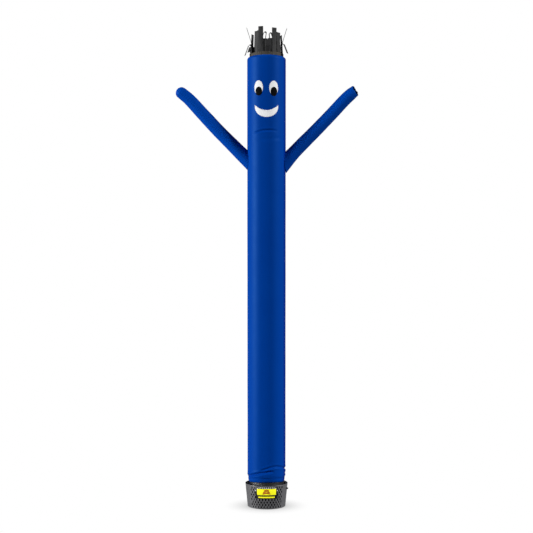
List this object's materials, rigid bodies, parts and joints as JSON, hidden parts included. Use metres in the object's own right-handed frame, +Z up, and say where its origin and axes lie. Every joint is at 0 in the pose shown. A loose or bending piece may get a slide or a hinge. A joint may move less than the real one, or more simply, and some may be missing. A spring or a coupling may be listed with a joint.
{
  "type": "inflatable air dancer on blower",
  "caption": "Tall inflated cloth tube figure with arms, a sewn face and loose cloth hair, strapped by its hem to a round floor-standing blower.",
  "frame": {"origin": "middle of the blower's floor, on the surface that it stands on", "axes": "+Z up along the cloth tube, -Y the way the face looks, +X towards the open arm"},
  "size_m": [2.2805, 0.5561, 5.9781],
  "materials": {
    "blue_nylon": "satin",
    "black_cloth": "matte",
    "white_patch": "matte",
    "black_patch": "matte",
    "charcoal_plastic": "satin",
    "dark_steel": "satin",
    "yellow_plate": "satin"
  },
  "bodies": {
    "root": {"tube": "blue_nylon", "arm_left": "blue_nylon", "arm_right": "blue_nylon", "hem_strap": "black_cloth", "head_band": "black_cloth", "streamer_01": "black_cloth", "streamer_02": "black_cloth", "streamer_03": "black_cloth", "streamer_04": "black_cloth", "streamer_05": "black_cloth", "streamer_06": "black_cloth", "streamer_07": "black_cloth", "streamer_08": "black_cloth", "streamer_09": "black_cloth", "streamer_10": "black_cloth", "streamer_11": "black_cloth", "streamer_12": "black_cloth", "streamer_13": "black_cloth", "streamer_14": "black_cloth", "streamer_15": "black_cloth", "streamer_16": "black_cloth", "streamer_17": "black_cloth", "streamer_18": "black_cloth", "streamer_19": "black_cloth", "streamer_20": "black_cloth", "eye_left": "white_patch", "eye_right": "white_patch", "mouth": "white_patch", "pupil_left": "black_patch", "pupil_right": "black_patch", "blower_drum": "charcoal_plastic", "blower_deck": "charcoal_plastic", "fan_unit": "dark_steel", "rim_bolt_1": "dark_steel", "rim_bolt_2": "dark_steel", "rim_bolt_3": "dark_steel", "label_plate": "yellow_plate", "label_bar": "yellow_plate"}
  },
  "joints": []
}
